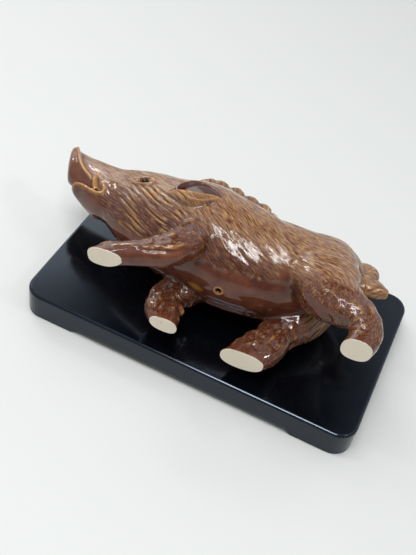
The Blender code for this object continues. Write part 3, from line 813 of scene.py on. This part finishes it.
points += haunch[:, None] * (softened(boar, points, figure["haunchSoftening"]) - points)
points = carve(points, normals)
boar.data.vertices.foreach_set("co", (points * unit).reshape(-1))
boar.data.update()

# Marks for the glaze, kept on the skin's points while it is thinned and cut.
points, normals = readMesh(boar.data)
points /= unit
standsOut = ((points - softened(boar, points, 6)) * normals).sum(1)
u, v = combedCoordinates(points)
legU, legV, onLeg = legCoordinates(points)
aboveSole = points[:, 2] - figure["soleLevel"]
furred = 1 - bareLeg(points, normals)
onTrunk = coatMask(points) * furred * (1 - onLeg)
hairyLeg = coat["legHairShare"] * onLeg * furred * np.clip(aboveSole / 4.0, 0, 1)
mirrored = np.stack([points[:, 0], np.abs(points[:, 1]), points[:, 2]], -1)
earRows = np.array(ears["rows"])
# Edges where the glaze runs thin: the line of each and its half width in units.
trims = [(earRows[:, 0:3], 1.5), (earRows[:, 3:6], 1.3), (earRows[:, 6:9], 1.2),
         (face["snoutRim"], 2.0), (face["lowerLip"], 2.0), (face["lid"], 1.4),
         ([row[:3] for row in face["tusk"]], 2.4)]
thin = np.zeros(len(points))
for rows, width in trims:
    thin = np.maximum(thin, np.clip(1.6 - fromLine(mirrored, rows, 6.0) / width, 0, 1))

# Hollows made darker: glaze pools in the ear's bowl and the vent, and shade is painted in the
# groin.
# The bowl is a line with a half width; a point's gap to it is a share of that width, and 1 is the
# bowl's edge.
bowlMiddle = 0.55 * earRows[:, 0:3] + 0.45 * earRows[:, 3:6]
bowlHalf = 0.42 * np.linalg.norm(earRows[:, 0:3] - earRows[:, 3:6], axis=1, keepdims=True)
bowlLine = through(np.hstack([bowlMiddle, bowlHalf]), 8)
bowlGap = np.full(len(points), 9.0)
near = np.nonzero((mirrored[:, 1] > 34) & (points[:, 0] > 18) & (points[:, 0] < 72))[0]
gap = np.linalg.norm(mirrored[near][:, None] - bowlLine[None, :, :3], axis=2)
bowlGap[near] = (gap / np.maximum(bowlLine[:, 3], 1.0)).min(1)
pooledAndShaded = np.clip((1.15 - bowlGap) / 0.3, 0, 1)
ventX, ventY, ventRadius, _ = figure["vent"]
ventAway = np.hypot(points[:, 0] - ventX, points[:, 1] - ventY) / ventRadius
pooledAndShaded = np.maximum(pooledAndShaded, np.clip(1.9 - ventAway, 0, 1) * (points[:, 2] < -50))
# Shade painted in the groin hollows.
groinAway = fromSpot(mirrored, *spots["groin"])
pooledAndShaded = np.maximum(pooledAndShaded, np.clip(1.4 - groinAway, 0, 1))
patchAway = fromSpot(points, *spots["patch"])
marks = {
    "coatHair": (u * mmPerUnit, v * mmPerUnit, onTrunk),
    "legHair": (legU * mmPerUnit, legV * mmPerUnit, hairyLeg),
    # Painted shade under cheek and flank with the legs' darker tone; pooled glaze and painted shade
    # in hollows; thin glaze on edges.
    "glazeTone": (paintedShadeAndLegTone(points, onLeg), pooledAndShaded, thin * (1 - pooledAndShaded)),
    "glazeMarks": (standsOut * mmPerUnit, aboveSole * mmPerUnit, patchAway),
}
for name, values in marks.items():
    data = boar.data.attributes.new(name, "FLOAT_VECTOR", "POINT").data
    data.foreach_set("vector", np.stack(values, -1).astype(np.float32).reshape(-1))
boar = thinned(boar, figure["thinning"])
cutSoles(boar)
points = readMesh(boar.data)[0] / unit
lowest = layDown(points)[:, 2].min()
boar.data.vertices.foreach_set("co", layOn(points).reshape(-1))
boar.data.update()
boar.data.polygons.foreach_set("use_smooth", np.ones(len(boar.data.polygons), bool))
print("boar:", len(boar.data.vertices), "points")


def linear(code):
    # An sRGB hex colour as the linear values that Blender's sockets take.
    parts = [int(code[i : i + 2], 16) / 255 for i in (1, 3, 5)]
    red, green, blue = (
        v / 12.92 if v <= 0.04045 else ((v + 0.055) / 1.055) ** 2.4 for v in parts
    )
    return red, green, blue, 1.0


def newMaterial(name):
    # A material with its node tree and its shader.
    material = bpy.data.materials.new(name)
    material.use_nodes = True
    return material, material.node_tree, material.node_tree.nodes["Principled BSDF"]


def addNode(tree, kind, settings=None, links=None):
    # Adds a node; a setting is one of its own values or the value of a socket of that name.
    node = tree.nodes.new(kind)
    for key, value in (settings or {}).items():
        if isinstance(key, str) and hasattr(node, key):
            setattr(node, key, value)
        else:
            node.inputs[key].default_value = value
    for key, source in (links or {}).items():
        tree.links.new(source, node.inputs[key])
    return node


def setStops(node, stops):
    # Colours at places along a colour ramp.
    ramp = node.color_ramp
    while len(ramp.elements) < len(stops):
        ramp.elements.new(0.5)
    for element, (place, colour) in zip(ramp.elements, stops):
        element.position = place
        element.color = linear(colour)
    return node.outputs["Color"]


glazeLook = {
    "hairWidth": 0.6,  # mm
    "hairLength": 7.0,
    "curlWidth": 0.8,
    "curlLength": 2.4,
    "hairRelief": 0.00007,  # m
    "speckleRelief": 0.00002,
    "mottle": 0.011,
    "speckle": 0.0016,
    "drips": 0.004,
    "coatStops": [(0.33, "#45261a"), (0.43, "#6a4633"), (0.53, "#805e47"), (0.60, "#94704b"),
                  (0.69, "#b28c54")],
    "shadeStops": [(0.30, "#260f08"), (0.44, "#452318"), (0.56, "#5c3628"), (0.64, "#78502f"),
                   (0.72, "#a4763c")],
    # Pooled glaze in the ear's bowl and vent; painted shade in the groin.
    "pool": "#3d1c14",
    "thin": "#a37442",
    "bare": "#683a28",
    "bareDeep": "#4c2518",
    "edge": "#b07d3c",
    # Grooves: pooled glaze with painted shade.
    "groove": "#2c130b",
    "patch": "#9a6a2a",
    "clay": "#e1d5c2",
    "roughness": 0.07,
    "clayRoughness": 0.8,
    "inGroove": (-0.05, -0.30),  # mm that a point stands out from the skin round it
    "onEdge": (0.06, 0.30),
}

# Glazed stoneware: a glossy iron-brown glaze, thin and ochre where it breaks over ridges, dark
# where it pools in grooves, with shade painted in the grooves, under the cheek and flank and in the
# groin; the soles are bare cream clay.
glazed, tree, shader = newMaterial("glazedStoneware")


def hairPattern(name, width, length):
    # Streaks a few hairs wide and many times as long, read across and along the combed hairs.
    source = addNode(tree, "ShaderNodeAttribute", {"attribute_name": name})
    split = addNode(tree, "ShaderNodeSeparateXYZ", links={0: source.outputs["Vector"]})
    place = addNode(tree, "ShaderNodeMapping", {"Scale": (1 / width, 1 / length, 0.0)},
                    {"Vector": source.outputs["Vector"]})
    streaks = addNode(tree, "ShaderNodeTexNoise",
                      {"Scale": 1.0, "Detail": 2.5, "Roughness": 0.55, "Distortion": 0.25},
                      {"Vector": place.outputs[0]})
    return streaks.outputs[0], split.outputs["Z"]


coatStreaks, coatShare = hairPattern("coatHair", glazeLook["hairWidth"], glazeLook["hairLength"])
legStreaks, legShare = hairPattern("legHair", glazeLook["curlWidth"], glazeLook["curlLength"])
streaks = addNode(tree, "ShaderNodeMix", {"data_type": "FLOAT"},
                  {0: legShare, 2: coatStreaks, 3: legStreaks}).outputs[0]
hairShare = addNode(tree, "ShaderNodeMath", {"operation": "ADD", "use_clamp": True},
                    {0: coatShare, 1: legShare}).outputs[0]
marksNode = addNode(tree, "ShaderNodeAttribute", {"attribute_name": "glazeMarks"})
marksSplit = addNode(tree, "ShaderNodeSeparateXYZ", links={0: marksNode.outputs["Vector"]})
standOut, soleHeight, patchAway = marksSplit.outputs
ownPlace = addNode(tree, "ShaderNodeTexCoord").outputs["Object"]
mottle = addNode(tree, "ShaderNodeTexNoise", {"Scale": 1 / glazeLook["mottle"], "Detail": 3.0},
                 {"Vector": ownPlace})
speckle = addNode(tree, "ShaderNodeTexNoise", {"Scale": 1 / glazeLook["speckle"], "Detail": 2.0},
                  {"Vector": ownPlace})

hairRamp = addNode(tree, "ShaderNodeValToRGB", links={0: streaks})
lightHair = setStops(hairRamp, glazeLook["coatStops"])
shadeRamp = addNode(tree, "ShaderNodeValToRGB", links={0: streaks})
shadeHair = setStops(shadeRamp, glazeLook["shadeStops"])
shadeToneNode = addNode(tree, "ShaderNodeAttribute", {"attribute_name": "glazeTone"})
shadeToneSplit = addNode(tree, "ShaderNodeSeparateXYZ", links={0: shadeToneNode.outputs["Vector"]})
shadeAndLegShare, poolAndShadeShare, thinShare = shadeToneSplit.outputs
# Painted shade under the cheek and flank takes the shaded copy of the coat's colours; the legs take
# it as their darker tone.
hairColour = addNode(tree, "ShaderNodeMix", {"data_type": "RGBA"},
                     {0: shadeAndLegShare, 6: lightHair, 7: shadeHair}).outputs[2]
bareRamp = addNode(tree, "ShaderNodeValToRGB", links={0: mottle.outputs[0]})
bareColour = setStops(bareRamp, [(0.3, glazeLook["bareDeep"]), (0.65, glazeLook["bare"])])
colour = addNode(tree, "ShaderNodeMix", {"data_type": "RGBA"},
                 {0: hairShare, 6: bareColour, 7: hairColour}).outputs[2]


def blendIn(under, share, code):
    # Lays one more colour over the others where the share is high.
    node = addNode(tree, "ShaderNodeMix", {"data_type": "RGBA"}, {0: share, 6: under})
    node.inputs[7].default_value = linear(code)
    return node.outputs[2]


def shareBetween(value, low, high):
    # 0 up to the low value and 1 from the high one on.
    return addNode(tree, "ShaderNodeMapRange", {1: low, 2: high}, {0: value}).outputs[0]


# Dark in grooves, where glaze pools and shade is painted; ochre on ridges where the glaze breaks.
colour = blendIn(colour, shareBetween(standOut, *glazeLook["inGroove"]), glazeLook["groove"])
colour = blendIn(colour, shareBetween(standOut, *glazeLook["onEdge"]), glazeLook["edge"])
# Pooled glaze in the ear's bowl and vent, and painted shade in the groin.
colour = blendIn(colour, poolAndShadeShare, glazeLook["pool"])
thinSpeckled = addNode(tree, "ShaderNodeMath", {"operation": "MULTIPLY"},
                       {0: thinShare, 1: shareBetween(speckle.outputs[0], 0.1, 1.0)}).outputs[0]
colour = blendIn(colour, thinSpeckled, glazeLook["thin"])
patchEdge = addNode(tree, "ShaderNodeMath", {"operation": "MULTIPLY_ADD", 1: 0.7},
                    {0: mottle.outputs[0], 2: patchAway}).outputs[0]
colour = blendIn(colour, shareBetween(patchEdge, 1.3, 0.7), glazeLook["patch"])
drips = addNode(tree, "ShaderNodeTexNoise", {"Scale": 1 / glazeLook["drips"], "Detail": 2.0},
                {"Vector": ownPlace})
glazeEnd = addNode(tree, "ShaderNodeMath", {"operation": "MULTIPLY_ADD", 1: -0.8},
                   {0: drips.outputs[0], 2: soleHeight}).outputs[0]
clayShare = shareBetween(glazeEnd, -0.1, -0.2)
colour = blendIn(colour, clayShare, glazeLook["clay"])
tree.links.new(colour, shader.inputs["Base Color"])

glossy, matt = glazeLook["roughness"], glazeLook["clayRoughness"]
rough = addNode(tree, "ShaderNodeMapRange", {1: 0.0, 2: 1.0, 3: glossy, 4: matt},
                {0: clayShare}).outputs[0]
tree.links.new(rough, shader.inputs["Roughness"])
hairHeight = addNode(tree, "ShaderNodeMath", {"operation": "MULTIPLY"},
                     {0: streaks, 1: hairShare}).outputs[0]
hairBump = addNode(tree, "ShaderNodeBump", {"Strength": 1.0, "Distance": glazeLook["hairRelief"]},
                   {"Height": hairHeight})
skinBump = addNode(tree, "ShaderNodeBump",
                   {"Strength": 1.0, "Distance": glazeLook["speckleRelief"]},
                   {"Height": speckle.outputs[0], "Normal": hairBump.outputs[0]})
tree.links.new(skinBump.outputs[0], shader.inputs["Normal"])
boar.data.materials.clear()
boar.data.materials.append(glazed)
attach(boar, "root")
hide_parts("boar")

eyes = {
    "around": 28,
    "rings": 15,
    "standOut": 0.6,  # units
    "drops": 0.0012,  # m
    "colour": "#0b0504",
    "sheen": "#1d0f0a",
    "roughness": 0.04,
}

# Black glaze: a thick glossy drop on each eye, a little browner where it thins.
blackGlaze, tree, shader = newMaterial("blackGlaze")
ownPlace = addNode(tree, "ShaderNodeTexCoord").outputs["Object"]
drops = addNode(tree, "ShaderNodeTexNoise", {"Scale": 1 / eyes["drops"]}, {"Vector": ownPlace})
dropRamp = addNode(tree, "ShaderNodeValToRGB", links={0: drops.outputs[0]})
dropColour = setStops(dropRamp, [(0.4, eyes["colour"]), (0.75, eyes["sheen"])])
tree.links.new(dropColour, shader.inputs["Base Color"])
shader.inputs["Roughness"].default_value = eyes["roughness"]


def eyeSurface(side):
    # A ball: the sine and cosine of the way from pole to pole give each ring's size and height.
    x, y, z = face["eye"]
    pole = np.linspace(0, math.pi, eyes["rings"] + 2)[1:-1, None]
    turn = np.linspace(0, 2 * math.pi, eyes["around"], endpoint=False)[None]
    ring = [np.sin(pole) * np.cos(turn), np.sin(pole) * np.sin(turn), np.cos(pole) + 0 * turn]
    centre = np.array([x, side * (y + eyes["standOut"]), z])
    return skinRings(centre + face["eyeRadius"] * np.stack(ring, -1))


for name, side in (("eyeLeft", 1), ("eyeRight", -1)):
    ball, groups = eyeSurface(side)
    eye = meshFrom(name, layOn(ball), groups)
    turnOut(eye)
    eye.data.polygons.foreach_set("use_smooth", np.ones(len(eye.data.polygons), bool))
    eye.data.materials.append(blackGlaze)
    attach(eye, "root")
    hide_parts("boar")

lacquerLook = {
    "colour": "#030509",
    "sheen": "#d2e6ff",
    "haze": (0.12, 0.16),  # roughness
    "hazeSize": 0.02,  # m
}

# Black lacquer: a deep blue-black coat polished to a near mirror, a little hazy in places.
lacquer, tree, shader = newMaterial("blackLacquer")
shader.inputs["Base Color"].default_value = linear(lacquerLook["colour"])
shader.inputs["Specular Tint"].default_value = linear(lacquerLook["sheen"])
ownPlace = addNode(tree, "ShaderNodeTexCoord").outputs["Object"]
grain = addNode(tree, "ShaderNodeTexNoise", {"Scale": 1 / lacquerLook["hazeSize"], "Detail": 3.0},
                {"Vector": ownPlace})
clear, hazy = lacquerLook["haze"]
haze = addNode(tree, "ShaderNodeMapRange", {1: 0.3, 2: 0.7, 3: clear, 4: hazy},
               {0: grain.outputs[0]})
tree.links.new(haze.outputs[0], shader.inputs["Roughness"])
for node in bpy.data.objects:
    if node.name == "display_board":
        for socket in node.material_slots:
            socket.material = lacquer

print("stage, light and camera")
table = {"half": 3.0, "colour": "#cccecc", "roughness": 0.6}
corners = np.array([(-1, -1, 0), (1, -1, 0), (1, 1, 0), (-1, 1, 0)]) * table["half"]
floorPlane = meshFrom("floor", corners, [np.array([[0, 1, 2, 3]])])

# Pale matt table top: an even light grey that fades into the background.
paper, tree, shader = newMaterial("paleTable")
shader.inputs["Base Color"].default_value = linear(table["colour"])
shader.inputs["Roughness"].default_value = table["roughness"]
floorPlane.data.materials.append(paper)

light = {
    "room": "#eef0f1",
    "roomStrength": (0.26, 0.94),  # away from and toward the bright side
    "roomTurn": 0.7,  # how far the room's light keeps changing, as a cosine
    "bright": (-0.30, 0.70, 0.65),
    "dark": (-0.14, 0.59, 0.795),  # where the dark corner of the room stands
    "darkEdge": (0.977, 0.988),  # cosines
    "darkStrength": 0.015,
    "panels": {  # place, size, radiance and what it looks at
        "ceilingPanel": ((0.05, -0.42, 1.20), (0.50, 0.14), 24.0, "boar"),
        "ceilingLamp": ((0.85, -0.03, 1.10), (0.12, 0.12), 42.0, "boar"),
        "backWindow": ((-1.1, 1.0, 1.0), (1.0, 0.9), 1.6, "boar"),
        "sideWindow": ((-1.0, 0.50, 0.85), (0.11, 0.16), 24.0, "boar"),
        "ceilingTube": ((-0.30, -0.10, 1.25), (1.00, 0.06), 26.0, "floor"),
    },
}
world = bpy.data.worlds.new("room")
bpy.context.scene.world = world
world.use_nodes = True
sky = world.node_tree
background = sky.nodes["Background"]
background.inputs["Color"].default_value = linear(light["room"])
direction = addNode(sky, "ShaderNodeTexCoord").outputs["Generated"]


def toward(name):
    # The cosine of the angle between a direction of the sky and the named one.
    way = Vector(light[name]).normalized()
    return addNode(sky, "ShaderNodeVectorMath", {"operation": "DOT_PRODUCT", 1: way},
                   {0: direction}).outputs["Value"]


toDark, toBright = toward("dark"), toward("bright")
low, high = light["roomStrength"]
room = addNode(sky, "ShaderNodeMapRange", {
    "interpolation_type": "SMOOTHSTEP",
    1: -light["roomTurn"], 2: light["roomTurn"], 3: low, 4: high}, {0: toBright})
edgeOut, edgeIn = light["darkEdge"]
strength = addNode(sky, "ShaderNodeMapRange", {
    "interpolation_type": "SMOOTHSTEP", 1: edgeOut, 2: edgeIn, 4: light["darkStrength"]},
    {0: toDark, 3: room.outputs[0]})
sky.links.new(strength.outputs[0], background.inputs["Strength"])
for name, (place, size, radiance, facing) in light["panels"].items():
    lamp = bpy.data.lights.new(name, "AREA")
    lamp.shape = "RECTANGLE"
    lamp.size, lamp.size_y = size
    lamp.energy = radiance * math.pi * size[0] * size[1]
    holder = bpy.data.objects.new(name, lamp)
    holder.location = place
    if facing == "boar":
        holder.rotation_euler = (-Vector(place)).to_track_quat("-Z", "Y").to_euler()
    bpy.context.scene.collection.objects.link(holder)
bpy.context.scene.view_settings.view_transform = "Standard"

view = {
    "fromBoard": (0.1100911, -0.4261825, 0.5083048),  # from the middle of the board's underside
    "right": (0.89819636, 0.41713168, 0.13872438),
    "up": (-0.39512908, 0.62778593, 0.67063987),
    "back": (0.19265592, -0.65718033, 0.7286959),
    "lens": 53.835,
}
camera = bpy.data.objects.new("camera", bpy.data.cameras.new("camera"))
camera.data.sensor_fit = "VERTICAL"
camera.data.sensor_height = 36.0
camera.data.lens = view["lens"]
boardLow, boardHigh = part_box("display_board")
boardMiddle = Vector((0.5 * (boardLow[0] + boardHigh[0]), 0.5 * (boardLow[1] + boardHigh[1]), 0))
camera.matrix_world = Matrix.Translation(boardMiddle + Vector(view["fromBoard"])) @ Matrix(
    (view["right"], view["up"], view["back"])).transposed().to_4x4()
bpy.context.scene.collection.objects.link(camera)
bpy.context.scene.camera = camera
